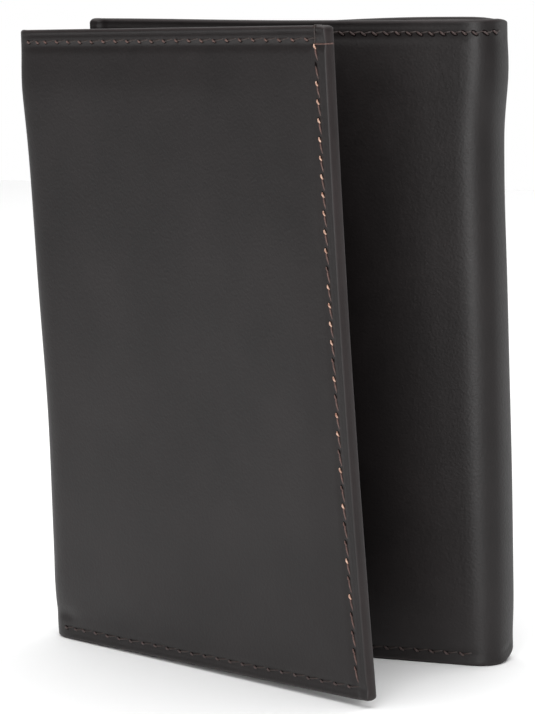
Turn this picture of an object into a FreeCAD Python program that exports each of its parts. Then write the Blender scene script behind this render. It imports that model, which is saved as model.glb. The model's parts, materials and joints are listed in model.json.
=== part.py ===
import FreeCAD, Part
import Sketcher
import math
import os

# Trifold wallet: leather shell, bill compartment, card slots and ID window, standing on its
# bottom edge with the front flap a little open.
#
# The wallet is a chain of flat panels joined by soft vertical creases.  In the order of the chain:
#
#     front_flap - left_gusset_b - left_gusset_a - centre - right_gusset - tuck_flap
#
# Each panel is built in its own frame: X runs across the panel, Y points into the wallet (the
# middle of the shell leather is at Y = 0) and Z runs up along the folds.  The Placement of a
# sub-part puts that frame at the panel's crease.  The origin of the wallet is the middle of the
# centre panel's bottom edge, +Y is out through the wallet's back.

os.makedirs("parts", exist_ok=True)
doc = FreeCAD.newDocument("TrifoldWallet")

# ------------------------------------------------ driving dimensions, in millimetres and degrees
DIMENSIONS = {
    "wallet_height": "108",
    "centre_width": "82",
    "front_flap_width": "72",
    "tuck_flap_width": "73.5",
    "left_gusset_depth": "12",
    "left_gusset_return": "8",
    "right_gusset_depth": "9",
    "open_angle": "22.5",
    "corner_radius": "1.5",
    # layers, counted from the outside in
    "shell_thickness": "1",
    "lining_thickness": "0.25",
    "bill_gap": "0.5",
    "wall_thickness": "0.5",
    "backing_thickness": "0.2",
    "slot_thickness": "0.45",
    "vinyl_thickness": "0.25",
    "frame_thickness": "0.75",
    # what stays free beside a crease, so that the panels can turn
    "shell_crease_gap": "0.8",
    "inner_crease_gap": "2.1",
    "straight_crease_gap": "1.2",
    # margins in from the shell's cut edges
    "lining_margin": "0.4",
    "wall_margin": "0.3",
    "wall_drop": "5",
    "slot_margin": "1",
    "base_level": "0",
    "seam_width": "3.5",
    # turned edges
    "hem_width": "6",
    "hem_thickness": "0.35",
    "mouth_hem_width": "2",
    "mouth_hem_thickness": "0.15",
    # card slots
    "slots_start": "8",
    "slot_step": "10",
    "slot_crease_gap": "2.6",
    # ID window of the centre panel
    "slip_width": "76",
    "frame_width": "66",
    "frame_height": "96",
    "window_width": "50",
    "window_height": "80",
    "window_radius": "4",
    "vinyl_overlap": "3.5",
    "vinyl_play": "0.1",
    # stitching
    "stitch_length": "1.9",
    "stitch_width": "0.45",
    "stitch_height": "0.22",
    "stitch_pitch": "2.35",
    "side_stitch_pitch": "2.9",
    "stitch_inset": "2.2",
    "stitch_slant": "9",
    "frame_stitch_inset": "2.5",
    # worked out from the ones above
    "half_shell": "=shell_thickness / 2",
    "lining_front": "=half_shell + lining_thickness",
    "wall_back": "=lining_front + bill_gap",
    "wall_front": "=wall_back + wall_thickness",
    "slots_back": "=wall_front + backing_thickness",
    "slip_front": "=wall_front + slot_thickness",
    "wall_top": "=wallet_height - wall_drop",
    "slot_top": "=wall_top - slot_margin",
    "window_centre": "=(wall_top + slot_margin) / 2",
    "top_stitch_line": "=wallet_height - stitch_inset",
    "flap_edge_line": "=front_flap_width - stitch_inset",
    "tuck_edge_line": "=tuck_flap_width - stitch_inset",
}

sheet = doc.addObject("Spreadsheet::Sheet", "Dimensions")
for row, (alias, value) in enumerate(DIMENSIONS.items(), start=1):
    sheet.set("A%d" % row, alias)
    sheet.set("B%d" % row, value)
    sheet.setAlias("B%d" % row, alias)
doc.recompute()


def bind(thing, field, formula):
    """Tie one property of an object to a formula of the spreadsheet's names."""
    words = formula.replace("(", " ( ").replace(")", " ) ").split()
    linked = ["Dimensions." + word if hasattr(sheet, word) else word for word in words]
    thing.setExpression(field, " ".join(linked))


def size(alias):
    """Value of one named dimension."""
    return float(getattr(sheet, alias))


def frame_at(x, y, turn):
    """Placement of a panel frame whose crease is at x, y and whose X axis is turned about Z."""
    upright = FreeCAD.Rotation(FreeCAD.Vector(0, 0, 1), turn)
    return FreeCAD.Placement(FreeCAD.Vector(x, y, 0), upright)


# ------------------------------------------------------------------------- where the creases are
half_centre = size("centre_width") / 2
flap_heading = math.radians(-size("open_angle"))
flap_crease_x = -half_centre + size("left_gusset_return") * math.cos(flap_heading)
flap_crease_y = -size("left_gusset_depth") + size("left_gusset_return") * math.sin(flap_heading)

FRAMES = {
    "centre": frame_at(0, 0, 180),
    "left_gusset_a": frame_at(-half_centre, 0, -90),
    "left_gusset_b": frame_at(-half_centre, -size("left_gusset_depth"), -size("open_angle")),
    "front_flap": frame_at(flap_crease_x, flap_crease_y, -size("open_angle")),
    "right_gusset": frame_at(half_centre, -size("right_gusset_depth"), 90),
    "tuck_flap": frame_at(half_centre, -size("right_gusset_depth"), 0),
}

# across each panel: where the shell leather runs, and where the inner layers run
SHELL_SPANS = {
    "centre": ("- centre_width / 2 + shell_crease_gap", "centre_width / 2 - shell_crease_gap"),
    "left_gusset_a": ("shell_crease_gap", "left_gusset_depth - shell_crease_gap"),
    "left_gusset_b": ("shell_crease_gap", "left_gusset_return - shell_crease_gap"),
    "front_flap": ("shell_crease_gap", "front_flap_width"),
    "right_gusset": ("shell_crease_gap", "right_gusset_depth - shell_crease_gap"),
    "tuck_flap": ("- tuck_flap_width", "- shell_crease_gap"),
}
INNER_SPANS = {
    "centre": ("- centre_width / 2 + inner_crease_gap", "centre_width / 2 - inner_crease_gap"),
    "left_gusset_a": ("inner_crease_gap", "left_gusset_depth - inner_crease_gap"),
    "left_gusset_b": ("inner_crease_gap", "left_gusset_return - straight_crease_gap"),
    "front_flap": ("straight_crease_gap", "front_flap_width - wall_margin"),
    "right_gusset": ("inner_crease_gap", "right_gusset_depth - inner_crease_gap"),
    "tuck_flap": ("- tuck_flap_width + wall_margin", "- inner_crease_gap"),
}
# X of each flap's free edge
FREE_EDGES = {
    "front_flap": "front_flap_width",
    "tuck_flap": "- tuck_flap_width",
}
# where each outer face's top and bottom rows of thread run
STITCH_SPANS = {
    "centre": ("- centre_width / 2 + seam_width", "centre_width / 2 - seam_width"),
    "left_gusset_b": ("shell_crease_gap", "left_gusset_return - shell_crease_gap"),
    "front_flap": ("shell_crease_gap", "front_flap_width - seam_width"),
    "tuck_flap": ("- tuck_flap_width + seam_width", "- shell_crease_gap"),
}

nodes = []


# --------------------------------------------------------------------------------- solid features
def block(body, kind, name, span_x, span_z, y, thickness):
    """Pad or pocket of a rectangle in X and Z, from Y = y inwards by thickness."""
    sketch = body.newObject("Sketcher::SketchObject", name + "_sketch")
    planes = [plane for plane in body.Origin.OriginFeatures if plane.Role == "XZ_Plane"]
    sketch.AttachmentSupport = [(planes[0], "")]
    sketch.MapMode = "FlatFace"
    corners = [(0, 0), (1, 0), (1, 1), (0, 1)]
    points = [FreeCAD.Vector(x, z, 0) for x, z in corners]
    for index in range(4):
        sketch.addGeometry(Part.LineSegment(points[index], points[(index + 1) % 4]))
    for index in range(4):
        sketch.addConstraint(Sketcher.Constraint("Coincident", index, 2, (index + 1) % 4, 1))
    for index in (0, 2):
        sketch.addConstraint(Sketcher.Constraint("Horizontal", index))
    for index in (1, 3):
        sketch.addConstraint(Sketcher.Constraint("Vertical", index))
    sketch.addConstraint(Sketcher.Constraint("Coincident", 0, 1, -1, 1))
    across = sketch.addConstraint(Sketcher.Constraint("DistanceX", 0, 1, 0, 2, 1.0))
    upward = sketch.addConstraint(Sketcher.Constraint("DistanceY", 1, 1, 1, 2, 1.0))
    bind(sketch, "Constraints[%d]" % across, "( %s ) - ( %s )" % (span_x[1], span_x[0]))
    bind(sketch, "Constraints[%d]" % upward, "( %s ) - ( %s )" % (span_z[1], span_z[0]))
    bind(sketch, "AttachmentOffset.Base.x", span_x[0])
    bind(sketch, "AttachmentOffset.Base.y", span_z[0])
    bind(sketch, "AttachmentOffset.Base.z", "- ( %s )" % y)
    feature = body.newObject("PartDesign::" + kind, name)
    feature.Profile = sketch
    feature.Reversed = kind == "Pad"
    bind(feature, "Length", thickness)
    doc.recompute()
    return feature


def new_body(node, panel):
    """Empty PartDesign body for one node, placed at the crease of its panel."""
    body = doc.addObject("PartDesign::Body", node)
    body.Label = node
    body.Placement = FRAMES[panel]
    nodes.append(body)
    return body


def slab(node, panel, span_x, span_z, y, thickness):
    """One flat sheet of a panel as its own node."""
    body = new_body(node, panel)
    block(body, "Pad", node + "_sheet", span_x, span_z, y, thickness)
    return body


def round_corners(body, limit, radius):
    """Fillet the edges through the sheet that stand at this X, on either side of X = 0."""
    tip = body.Tip
    names = []
    for index, edge in enumerate(tip.Shape.Edges, start=1):
        first = edge.Vertexes[0].Point
        last = edge.Vertexes[-1].Point
        through = abs(first.x - last.x) + abs(first.z - last.z) < 1e-6
        at_limit = abs(abs(first.x) - abs(limit)) < 1e-6
        if through and at_limit:
            names.append("Edge%d" % index)
    fillet = body.newObject("PartDesign::Fillet", body.Name + "_corners")
    fillet.Base = (tip, names)
    bind(fillet, "Radius", radius)
    doc.recompute()
    return fillet


def value(formula):
    """Number that a formula of added, subtracted and halved names stands for."""
    total = 0.0
    sign = 1.0
    for term in formula.replace(" / 2", "/2").split():
        if term in "+-":
            sign = 1.0 if term == "+" else -1.0
        elif term.endswith("/2"):
            total += sign * size(term[:-2]) / 2
        else:
            total += sign * size(term)
    return total


# --------------------------------------------------------------------------------------- stitches
def stitch_row(node, panel, runs, outside=True):
    """Thread stitches lying on a face: runs is a list of (start, end, pitch) in X and Z."""
    stitches = []
    for start, end, pitch in runs:
        step_x = end[0] - start[0]
        step_z = end[1] - start[1]
        upright = abs(step_z) > abs(step_x)
        count = int(math.hypot(step_x, step_z) / size(pitch))
        turn = -90 if upright else 0
        for index in range(count):
            stitch = doc.addObject("Part::Box", node + "_stitch")
            bind(stitch, "Length", "stitch_length")
            bind(stitch, "Width", "stitch_height")
            bind(stitch, "Height", "stitch_width")
            along = (index + 0.5) / count
            stitch.Placement = FreeCAD.Placement(
                FreeCAD.Vector(start[0] + step_x * along, 0, start[1] + step_z * along),
                FreeCAD.Rotation(FreeCAD.Vector(0, 1, 0), turn - size("stitch_slant")),
                FreeCAD.Vector(0, 0, 0),
            )
            if outside:
                bind(stitch, "Placement.Base.y", "- half_shell - stitch_height")
            else:
                bind(stitch, "Placement.Base.y", "slip_front + frame_thickness")
            stitches.append(stitch)
    row = doc.addObject("Part::Compound", node)
    row.Label = node
    row.Links = stitches
    row.Placement = FRAMES[panel]
    nodes.append(row)
    return row


# ------------------------------------------------------------------------- shell, lining and wall


def make_shell(panel):
    """Outer leather of one panel, with rounded corners at a flap's free edge."""
    shell = slab(panel + "_shell", panel, SHELL_SPANS[panel], ("base_level", "wallet_height"),
                 "- half_shell", "shell_thickness")
    if panel in FREE_EDGES:
        round_corners(shell, value(FREE_EDGES[panel]), "corner_radius")


def make_lining(panel):
    """Thin fabric glued to the inside of the shell."""
    low, high = INNER_SPANS[panel]
    slab(panel + "_lining", panel, (low, high), ("lining_margin", "wallet_height - lining_margin"),
         "half_shell", "lining_thickness")


def make_wall(panel):
    """Inner wall of the bill compartment, sewn to the shell along its bottom and free edge."""
    low, high = INNER_SPANS[panel]
    wall = slab(panel + "_bill_wall", panel, (low, high), ("wall_margin", "wall_top"),
                "wall_back", "wall_thickness")
    block(wall, "Pad", panel + "_bottom_seam", (low, high),
          ("wall_margin", "wall_margin + seam_width"), "lining_front", "bill_gap")
    if panel == "front_flap":
        side = ("front_flap_width - wall_margin - seam_width", high)
    elif panel == "tuck_flap":
        side = (low, "- tuck_flap_width + wall_margin + seam_width")
    else:
        return
    block(wall, "Pad", panel + "_side_seam", side, ("wall_margin", "wall_top"),
          "lining_front", "bill_gap")


def make_top_hem(panel):
    """Shell leather turned over inside the mouth of the bill compartment."""
    low, high = INNER_SPANS[panel]
    if panel == "front_flap":
        high = "front_flap_width - wall_margin - seam_width - wall_margin"
    if panel == "tuck_flap":
        low = "- tuck_flap_width + wall_margin + seam_width + wall_margin"
    slab(panel + "_top_hem", panel, (low, high),
         ("wallet_height - lining_margin - hem_width", "wallet_height - lining_margin"),
         "lining_front", "hem_thickness")


for panel in SHELL_SPANS:
    make_shell(panel)
    make_lining(panel)
    make_wall(panel)
for panel in ("centre", "front_flap", "tuck_flap"):
    make_top_hem(panel)


# ------------------------------------------------------------------------------------- card slots
def make_slots(panel, mouths, bottom, backing_span):
    """Backing and stepped card slots: every mouth looks the same way when the wallet lies open."""
    heights = ("slot_margin", "slot_top")
    slab(panel + "_slot_backing", panel, backing_span, heights, "wall_front", "backing_thickness")
    for number, mouth in enumerate(mouths):
        level = "slots_back" + " + slot_thickness" * number
        slot = slab("%s_card_slot_%d" % (panel, number + 1), panel, (mouth, bottom), heights,
                    level, "slot_thickness")
        block(slot, "Pad", "%s_mouth_hem_%d" % (panel, number + 1),
              (mouth, mouth + " + mouth_hem_width"), heights,
              level + " + slot_thickness", "mouth_hem_thickness")


flap_mouths = ["slots_start" + " + slot_step" * number for number in range(3)]
tuck_mouths = ["- tuck_flap_width + slots_start" + " + slot_step" * number for number in range(3)]
make_slots("front_flap", flap_mouths, "front_flap_width - seam_width",
           ("straight_crease_gap + seam_width", "front_flap_width - seam_width"))
make_slots("tuck_flap", tuck_mouths, "- slot_crease_gap",
           ("- tuck_flap_width + slot_margin", "- slot_crease_gap"))

# ---------------------------------------------------------------------- ID window of centre panel
slab("centre_slip_pocket", "centre", ("- slip_width / 2", "slip_width / 2"),
     ("slot_margin", "slot_top"), "wall_front", "slot_thickness")

window_frame = new_body("id_window_frame", "centre")
block(window_frame, "Pad", "frame_sheet", ("- frame_width / 2", "frame_width / 2"),
      ("window_centre - frame_height / 2", "window_centre + frame_height / 2"),
      "slip_front", "frame_thickness")
solid_volume = window_frame.Shape.Volume
block(window_frame, "Pocket", "frame_opening", ("- window_width / 2", "window_width / 2"),
      ("window_centre - window_height / 2", "window_centre + window_height / 2"),
      "slip_front", "frame_thickness")
round_corners(window_frame, size("window_width") / 2, "window_radius")
block(window_frame, "Pocket", "vinyl_recess",
      ("- window_width / 2 - vinyl_overlap - vinyl_play",
       "window_width / 2 + vinyl_overlap + vinyl_play"),
      ("window_centre - window_height / 2 - vinyl_overlap - vinyl_play",
       "window_centre + window_height / 2 + vinyl_overlap + vinyl_play"),
      "slip_front", "vinyl_thickness")
assert window_frame.Shape.Volume < 0.6 * solid_volume, "the window is not cut through its frame"

slab("id_window_vinyl", "centre",
     ("- window_width / 2 - vinyl_overlap", "window_width / 2 + vinyl_overlap"),
     ("window_centre - window_height / 2 - vinyl_overlap",
      "window_centre + window_height / 2 + vinyl_overlap"),
     "slip_front", "vinyl_thickness")

# --------------------------------------------------------------------------------------- stitches
low_line = size("stitch_inset")
high_line = size("top_stitch_line")
for panel in ("centre", "left_gusset_b", "front_flap", "tuck_flap"):
    left, right = (value(limit) for limit in STITCH_SPANS[panel])
    for label, line in (("top", high_line), ("bottom", low_line)):
        stitch_row("%s_%s_stitches" % (panel, label), panel,
                   [((left, line), (right, line), "stitch_pitch")])
for panel, line in (("front_flap", size("flap_edge_line")), ("tuck_flap", -size("tuck_edge_line"))):
    stitch_row(panel + "_side_stitches", panel,
               [((line, low_line), (line, high_line), "side_stitch_pitch")])

edge_x = size("frame_width") / 2 - size("frame_stitch_inset")
low_z = size("window_centre") - size("frame_height") / 2 + size("frame_stitch_inset")
high_z = size("window_centre") + size("frame_height") / 2 - size("frame_stitch_inset")
stitch_row("id_frame_stitches", "centre",
           [((-edge_x, high_z), (-edge_x, low_z), "side_stitch_pitch"),
            ((-edge_x, low_z), (edge_x, low_z), "side_stitch_pitch"),
            ((edge_x, low_z), (edge_x, high_z), "side_stitch_pitch")], outside=False)

# ----------------------------------------------------------------------------- checks and writing
doc.recompute()
for thing in doc.Objects:
    assert not {"Invalid", "Error"} & set(thing.State), "%s did not rebuild" % thing.Label
for node in nodes:
    assert not node.Shape.isNull() and node.Shape.isValid(), "%s has no valid shape" % node.Label
    node.Shape.exportStep("parts/%s.step" % node.Label)
    box = node.Shape.BoundBox
    print("%-28s %8.1f mm3  x %6.2f %6.2f  y %6.2f %6.2f  z %6.2f %6.2f" % (
        node.Label, node.Shape.Volume, box.XMin, box.XMax, box.YMin, box.YMax, box.ZMin, box.ZMax))
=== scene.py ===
import json
import math

import bpy
import numpy as np
from mathutils import Matrix, Vector

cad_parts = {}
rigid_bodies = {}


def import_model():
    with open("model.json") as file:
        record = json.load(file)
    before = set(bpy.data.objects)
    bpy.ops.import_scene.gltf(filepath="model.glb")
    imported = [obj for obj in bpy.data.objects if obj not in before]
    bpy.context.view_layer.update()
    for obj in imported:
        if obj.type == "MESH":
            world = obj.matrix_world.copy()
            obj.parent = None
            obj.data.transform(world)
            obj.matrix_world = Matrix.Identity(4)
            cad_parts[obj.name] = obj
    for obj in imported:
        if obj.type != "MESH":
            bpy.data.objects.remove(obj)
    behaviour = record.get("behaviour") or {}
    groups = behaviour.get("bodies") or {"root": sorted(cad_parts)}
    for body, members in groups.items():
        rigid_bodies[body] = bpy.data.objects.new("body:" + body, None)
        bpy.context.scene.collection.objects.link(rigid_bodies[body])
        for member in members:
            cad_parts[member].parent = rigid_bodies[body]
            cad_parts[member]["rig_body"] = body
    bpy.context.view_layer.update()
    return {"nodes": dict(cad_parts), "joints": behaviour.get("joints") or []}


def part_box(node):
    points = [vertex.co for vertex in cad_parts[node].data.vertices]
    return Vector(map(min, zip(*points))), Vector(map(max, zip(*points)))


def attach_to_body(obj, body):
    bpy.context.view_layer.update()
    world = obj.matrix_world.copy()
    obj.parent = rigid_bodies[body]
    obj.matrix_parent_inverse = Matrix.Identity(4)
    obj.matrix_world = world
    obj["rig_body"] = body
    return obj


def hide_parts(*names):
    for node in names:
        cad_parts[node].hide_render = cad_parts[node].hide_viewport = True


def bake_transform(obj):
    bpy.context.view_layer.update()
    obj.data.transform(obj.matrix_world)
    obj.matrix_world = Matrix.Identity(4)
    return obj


# Trifold wallet: soft leather skins, linings, pockets and thread over the CAD frame.
# Lengths are in millimetres and are turned into metres when a mesh is made.
#
# Every layer is drawn on the wallet laid flat: s runs along the opened wallet (0 in the middle of
# the centre panel, positive towards the tuck flap), z runs up the folds and v is the depth, 0 in
# the middle of the shell leather and positive towards the inside.  place() then folds it.

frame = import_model()
MM = 0.001

# ------------------------------------------------------------------------ sizes read off the frame
JOINTS = {joint["name"]: joint for joint in frame["joints"]}


def low(node):
    """Lowest corner of a CAD node, in millimetres."""
    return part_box(node)[0] / MM


def high(node):
    """Highest corner of a CAD node, in millimetres."""
    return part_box(node)[1] / MM


def pivot(joint):
    """Where a joint's axis stands in the plan, in millimetres."""
    return np.array(JOINTS[joint]["pos_m"][:2]) / MM


HEIGHT = high("centre_shell").z
HALF_SHELL = high("centre_shell").y
LINING_FRONT = -low("centre_lining").y
WALL_FRONT = -low("centre_bill_wall").y
WALL_TOP = high("centre_bill_wall").z
SLOT_THICKNESS = -low("centre_slip_pocket").y - WALL_FRONT
SLOT_LOW = low("centre_slip_pocket").z
SLOT_HIGH = high("centre_slip_pocket").z
STITCH_INSET = (low("centre_bottom_stitches").z + high("centre_bottom_stitches").z) / 2
OPEN_ANGLE = math.radians(JOINTS["front_flap_close"]["range_deg"][1])
FLAP_DIRECTION = np.array([math.cos(OPEN_ANGLE), -math.sin(OPEN_ANGLE), 0.0])

SPINE = pivot("spine_unfold")
LEFT_FOLD = pivot("front_flap_open")
FLAP_CREASE = pivot("front_flap_close")
RIGHT_SPINE = pivot("right_fold_unfold")
RIGHT_FOLD = pivot("tuck_flap_lift")

S_SPINE = SPINE[0]
S_LEFT_FOLD = S_SPINE - np.linalg.norm(LEFT_FOLD - SPINE)
S_FLAP_CREASE = S_LEFT_FOLD - np.linalg.norm(FLAP_CREASE - LEFT_FOLD)
FLAP_REACH = high("front_flap_shell").x - FLAP_CREASE[0] - HALF_SHELL * math.sin(OPEN_ANGLE)
S_FLAP_EDGE = S_FLAP_CREASE - FLAP_REACH / math.cos(OPEN_ANGLE)
S_RIGHT_SPINE = RIGHT_SPINE[0]
S_RIGHT_FOLD = S_RIGHT_SPINE + np.linalg.norm(RIGHT_FOLD - RIGHT_SPINE)
S_TUCK_EDGE = S_RIGHT_FOLD + RIGHT_FOLD[0] - low("tuck_flap_shell").x
FLAP_WIDTH = S_LEFT_FOLD - S_FLAP_EDGE

# ---------------------------------------------------------- how the soft leather departs from flat
# how far the corners of the open flap are shifted: along the flap, then upwards
FLAP_TOP_LEFT = (-5.55, -1.5)
FLAP_TOP_RIGHT = (-3.8, 1.1)
FLAP_BOTTOM_LEFT = (-0.65, 0.0)
FLAP_BOTTOM_RIGHT = (0.0, 1.15)
FLAP_TWIST = math.radians(1.7)
FLAP_EDGE_BOW = 0.75
SPINE_SAG = 2.7
SAG_REACH = 70.0
RIGHT_FOLD_INSET = 0.5
RIGHT_FOLD_FLARE = 1.0
FLARE_START = 88.0
FLARE_REACH = 15.0
RIGHT_FOLD_WAIST = 0.35
WAIST_HEIGHT = 80.0
WAIST_REACH = 14.0
# waves of the left fold: size, height and reach
LEFT_FOLD_WAVES = ((0.85, 42.0, 20.0), (-0.6, 101.0, 10.0), (-0.65, 3.0, 8.0))
CORNER_LIFT = 1.8
CORNER_DROP = 0.6
TUCK_EDGE_RISE = 0.45
CORNER_REACH = (3.5, 9.0)


def smoothstep(t):
    """0 below 0, 1 above 1 and a smooth ramp in between."""
    t = np.clip(t, 0.0, 1.0)
    return t * t * (3 - 2 * t)


def turned_about(centre, angle):
    """Plan-view matrix of a turn about a point."""
    c, s = math.cos(angle), math.sin(angle)
    x, y = centre
    return np.array([[c, -s, x - c * x + s * y], [s, c, y - s * x - c * y], [0, 0, 1]])


def moved(matrix, plan):
    """Plan points moved by a plan-view matrix."""
    return plan @ matrix[:2, :2].T + matrix[:2, 2]


QUARTER = math.pi / 2
REST = {"centre": np.eye(3)}
REST["left_gusset_a"] = turned_about((S_SPINE, 0), QUARTER)
REST["left_gusset_b"] = REST["left_gusset_a"] @ turned_about((S_LEFT_FOLD, 0), QUARTER - OPEN_ANGLE)
REST["front_flap"] = REST["left_gusset_b"]
REST["right_gusset"] = turned_about((S_RIGHT_SPINE, 0), -QUARTER)
REST["tuck_flap"] = REST["right_gusset"] @ turned_about((S_RIGHT_FOLD, 0), -QUARTER)


def soften(plan, s, z):
    """Points of the rest pose in space, with the lean, twist and waist that soft leather takes."""
    share_up = z / HEIGHT
    share_out = np.clip((S_LEFT_FOLD - s) / FLAP_WIDTH, 0, 1)
    on_flap = smoothstep((S_SPINE - s) / (S_SPINE - S_LEFT_FOLD))
    twist = -FLAP_TWIST * share_up * on_flap
    arm = plan - LEFT_FOLD
    plan = np.stack([
        LEFT_FOLD[0] + arm[:, 0] * np.cos(twist) - arm[:, 1] * np.sin(twist),
        LEFT_FOLD[1] + arm[:, 0] * np.sin(twist) + arm[:, 1] * np.cos(twist),
    ], 1)
    shift = [
        share_up * (FLAP_TOP_LEFT[axis] + (FLAP_TOP_RIGHT[axis] - FLAP_TOP_LEFT[axis]) * share_out)
        + (1 - share_up)
        * (FLAP_BOTTOM_LEFT[axis] + (FLAP_BOTTOM_RIGHT[axis] - FLAP_BOTTOM_LEFT[axis]) * share_out)
        for axis in (0, 1)
    ]
    shift[0] = shift[0] - FLAP_EDGE_BOW * np.sin(math.pi * share_up) * share_out**2
    for size, middle, reach in LEFT_FOLD_WAVES:
        shift[0] = shift[0] + size * (1 - share_out) * np.exp(-(((z - middle) / reach) ** 2))
    points = np.concatenate([plan, z[:, None]], 1)
    points += (shift[0] * on_flap)[:, None] * FLAP_DIRECTION
    sag = SPINE_SAG * smoothstep(1 - (s - S_SPINE) / SAG_REACH) * (1 - on_flap)
    points[:, 2] += shift[1] * on_flap - sag * share_up**2
    into_fold = smoothstep((s - S_RIGHT_SPINE / 2) / (S_RIGHT_SPINE / 2))
    past_fold = smoothstep((s - S_RIGHT_FOLD) / S_RIGHT_SPINE)
    near_fold = into_fold * (1 - past_fold)
    waist = np.exp(-(((z - WAIST_HEIGHT) / WAIST_REACH) ** 2))
    flare = smoothstep((z - FLARE_START) / FLARE_REACH)
    points[:, 0] += near_fold * (
        RIGHT_FOLD_FLARE * flare - RIGHT_FOLD_INSET - RIGHT_FOLD_WAIST * waist)
    tuck_rim = smoothstep((s - S_TUCK_EDGE) / S_RIGHT_SPINE + 1)
    points[:, 2] += TUCK_EDGE_RISE * tuck_rim * share_up**4
    corner = np.exp(-(((s - S_RIGHT_SPINE) / CORNER_REACH[0]) ** 2))
    points[:, 2] += CORNER_LIFT * corner * (1 - smoothstep(z / CORNER_REACH[1]))
    points[:, 2] -= CORNER_DROP * corner * smoothstep((z - HEIGHT) / CORNER_REACH[1] + 1)
    return points


# ------------------------------------------------------------------------------------------- folds
FOLD_STEPS = 200
BLEND_MARGIN = 1.08


class Fold:
    """A soft, rounded crease that one joint turns, reaching equally far to both sides."""

    def __init__(self, before, after, s, side, turn, reach):
        self.before = before
        self.after = after
        self.s = s
        self.side = side
        self.turn = turn
        self.reach = reach
        share = np.linspace(0, 1, FOLD_STEPS + 1)
        heading = turn * smoothstep(share)
        self.share = share
        self.heading = heading
        steps_x = np.cumsum((np.cos(heading[1:]) + np.cos(heading[:-1])) / 2)
        steps_y = np.cumsum((np.sin(heading[1:]) + np.sin(heading[:-1])) / 2)
        run_x = np.append(0, steps_x) / FOLD_STEPS
        run_y = np.append(0, steps_y) / FOLD_STEPS
        # the bend starts and ends at the same reach from the crease, measured along both panels
        self.length = reach * (1 + math.cos(turn)) / run_x[-1]
        self.run_x = run_x * self.length - reach
        self.run_y = run_y * self.length
        line = soften(*self.crease(np.array([0.0, HEIGHT])))
        line = line[1] - line[0]
        half_turn = turned_about((0, 0), turn / 2)[:2, :2] @ REST[before][:2, :2]
        across = np.append(half_turn @ np.array([1.0, 0.0]), 0.0) * side
        across -= line * (across @ line) / (line @ line)
        middle = soften(*self.crease(np.array([HEIGHT / 2])))[0]
        width = reach * math.cos(turn / 2) * BLEND_MARGIN
        self.start = middle - across * width
        self.end = middle + across * width

    def crease(self, z):
        """Flat place of the crease line at these heights, put into the rest pose."""
        s = np.full_like(z, self.s)
        return moved(REST[self.before], np.stack([s, np.zeros_like(z)], 1)), s, z

    def folded(self, s, v, z):
        """Rest-pose points of flat ones, with the leather rounded over the crease."""
        along = (s - self.s) * self.side
        share = np.clip(along / (2 * self.reach) + 0.5, 0, 1)
        x = np.interp(share, self.share, self.run_x)
        y = np.interp(share, self.share, self.run_y)
        heading = np.interp(share, self.share, self.heading)
        beyond = np.maximum(along - self.reach, 0) - np.maximum(-along - self.reach, 0)
        x = x + beyond * np.cos(heading)
        y = y + beyond * np.sin(heading)
        plan = np.stack([
            self.s + self.side * x + v * np.sin(heading),
            self.side * y - v * np.cos(heading),
        ], 1)
        return soften(moved(REST[self.before], plan), s, z)


FOLDS = {
    "flap_crease": Fold("left_gusset_b", "front_flap", S_FLAP_CREASE, -1, 0.0, 1.6),
    "left_fold": Fold("left_gusset_a", "left_gusset_b", S_LEFT_FOLD, -1, QUARTER - OPEN_ANGLE, 4.6),
    "spine": Fold("centre", "left_gusset_a", S_SPINE, -1, QUARTER, 4.0),
    "right_spine": Fold("centre", "right_gusset", S_RIGHT_SPINE, 1, -QUARTER, 3.4),
    "right_fold": Fold("right_gusset", "tuck_flap", S_RIGHT_FOLD, 1, -QUARTER, 5.0),
}
# every layer is cut between its folds, where nothing bends
S_CENTRE_CUT = S_SPINE / 4
S_LEFT_CUT = S_LEFT_FOLD + 0.7 * (S_FLAP_CREASE - S_LEFT_FOLD)
S_RIGHT_CUT = S_RIGHT_SPINE + 0.42 * (S_RIGHT_FOLD - S_RIGHT_SPINE)
CUTS = [
    ("flap_crease", S_FLAP_EDGE, S_LEFT_CUT),
    ("left_fold", S_LEFT_CUT, (S_LEFT_FOLD + S_SPINE) / 2),
    ("spine", (S_LEFT_FOLD + S_SPINE) / 2, S_CENTRE_CUT),
    ("right_spine", S_CENTRE_CUT, S_RIGHT_CUT),
    ("right_fold", S_RIGHT_CUT, S_TUCK_EDGE),
]


def place(s, v, z, holder):
    """Rest-pose points of flat ones on a fold, or on a body that nothing bends."""
    s, v, z = (np.asarray(part, float) for part in (s, v, z))
    if holder in FOLDS:
        return FOLDS[holder].folded(s, v, z)
    return soften(moved(REST[holder], np.stack([s, -v], 1)), s, z)


def attach(piece, holder):
    """Bake a finished piece's transform into its mesh if it lies over a fold, or let it ride on its
    body.
    """
    if holder in FOLDS:
        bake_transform(piece)
    else:
        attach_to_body(piece, holder)


def add_mesh(name, points, faces, materials, face_slots=None, smooth=True):
    """New object from points in millimetres."""
    mesh = bpy.data.meshes.new(name)
    mesh.from_pydata([tuple(point) for point in np.asarray(points) * MM], [], faces)
    for material in materials:
        mesh.materials.append(material)
    if face_slots is not None:
        mesh.polygons.foreach_set("material_index", face_slots)
    mesh.polygons.foreach_set("use_smooth", [smooth] * len(mesh.polygons))
    mesh.update()
    piece = bpy.data.objects.new(name, mesh)
    bpy.context.scene.collection.objects.link(piece)
    return piece


# --------------------------------------------------------------------------------------- materials
GRAIN_SIZE = 0.45


def new_material(name):
    """Node material, its nodes and its links."""
    material = bpy.data.materials.new(name)
    material.use_nodes = True
    return material, material.node_tree.nodes, material.node_tree.links


def add_node(nodes, kind, **settings):
    """Node with some of its properties or inputs set."""
    node = nodes.new(kind)
    for key, value in settings.items():
        if hasattr(node, key):
            setattr(node, key, value)
        else:
            node.inputs[key.replace("_", " ").title()].default_value = value
    return node


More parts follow.
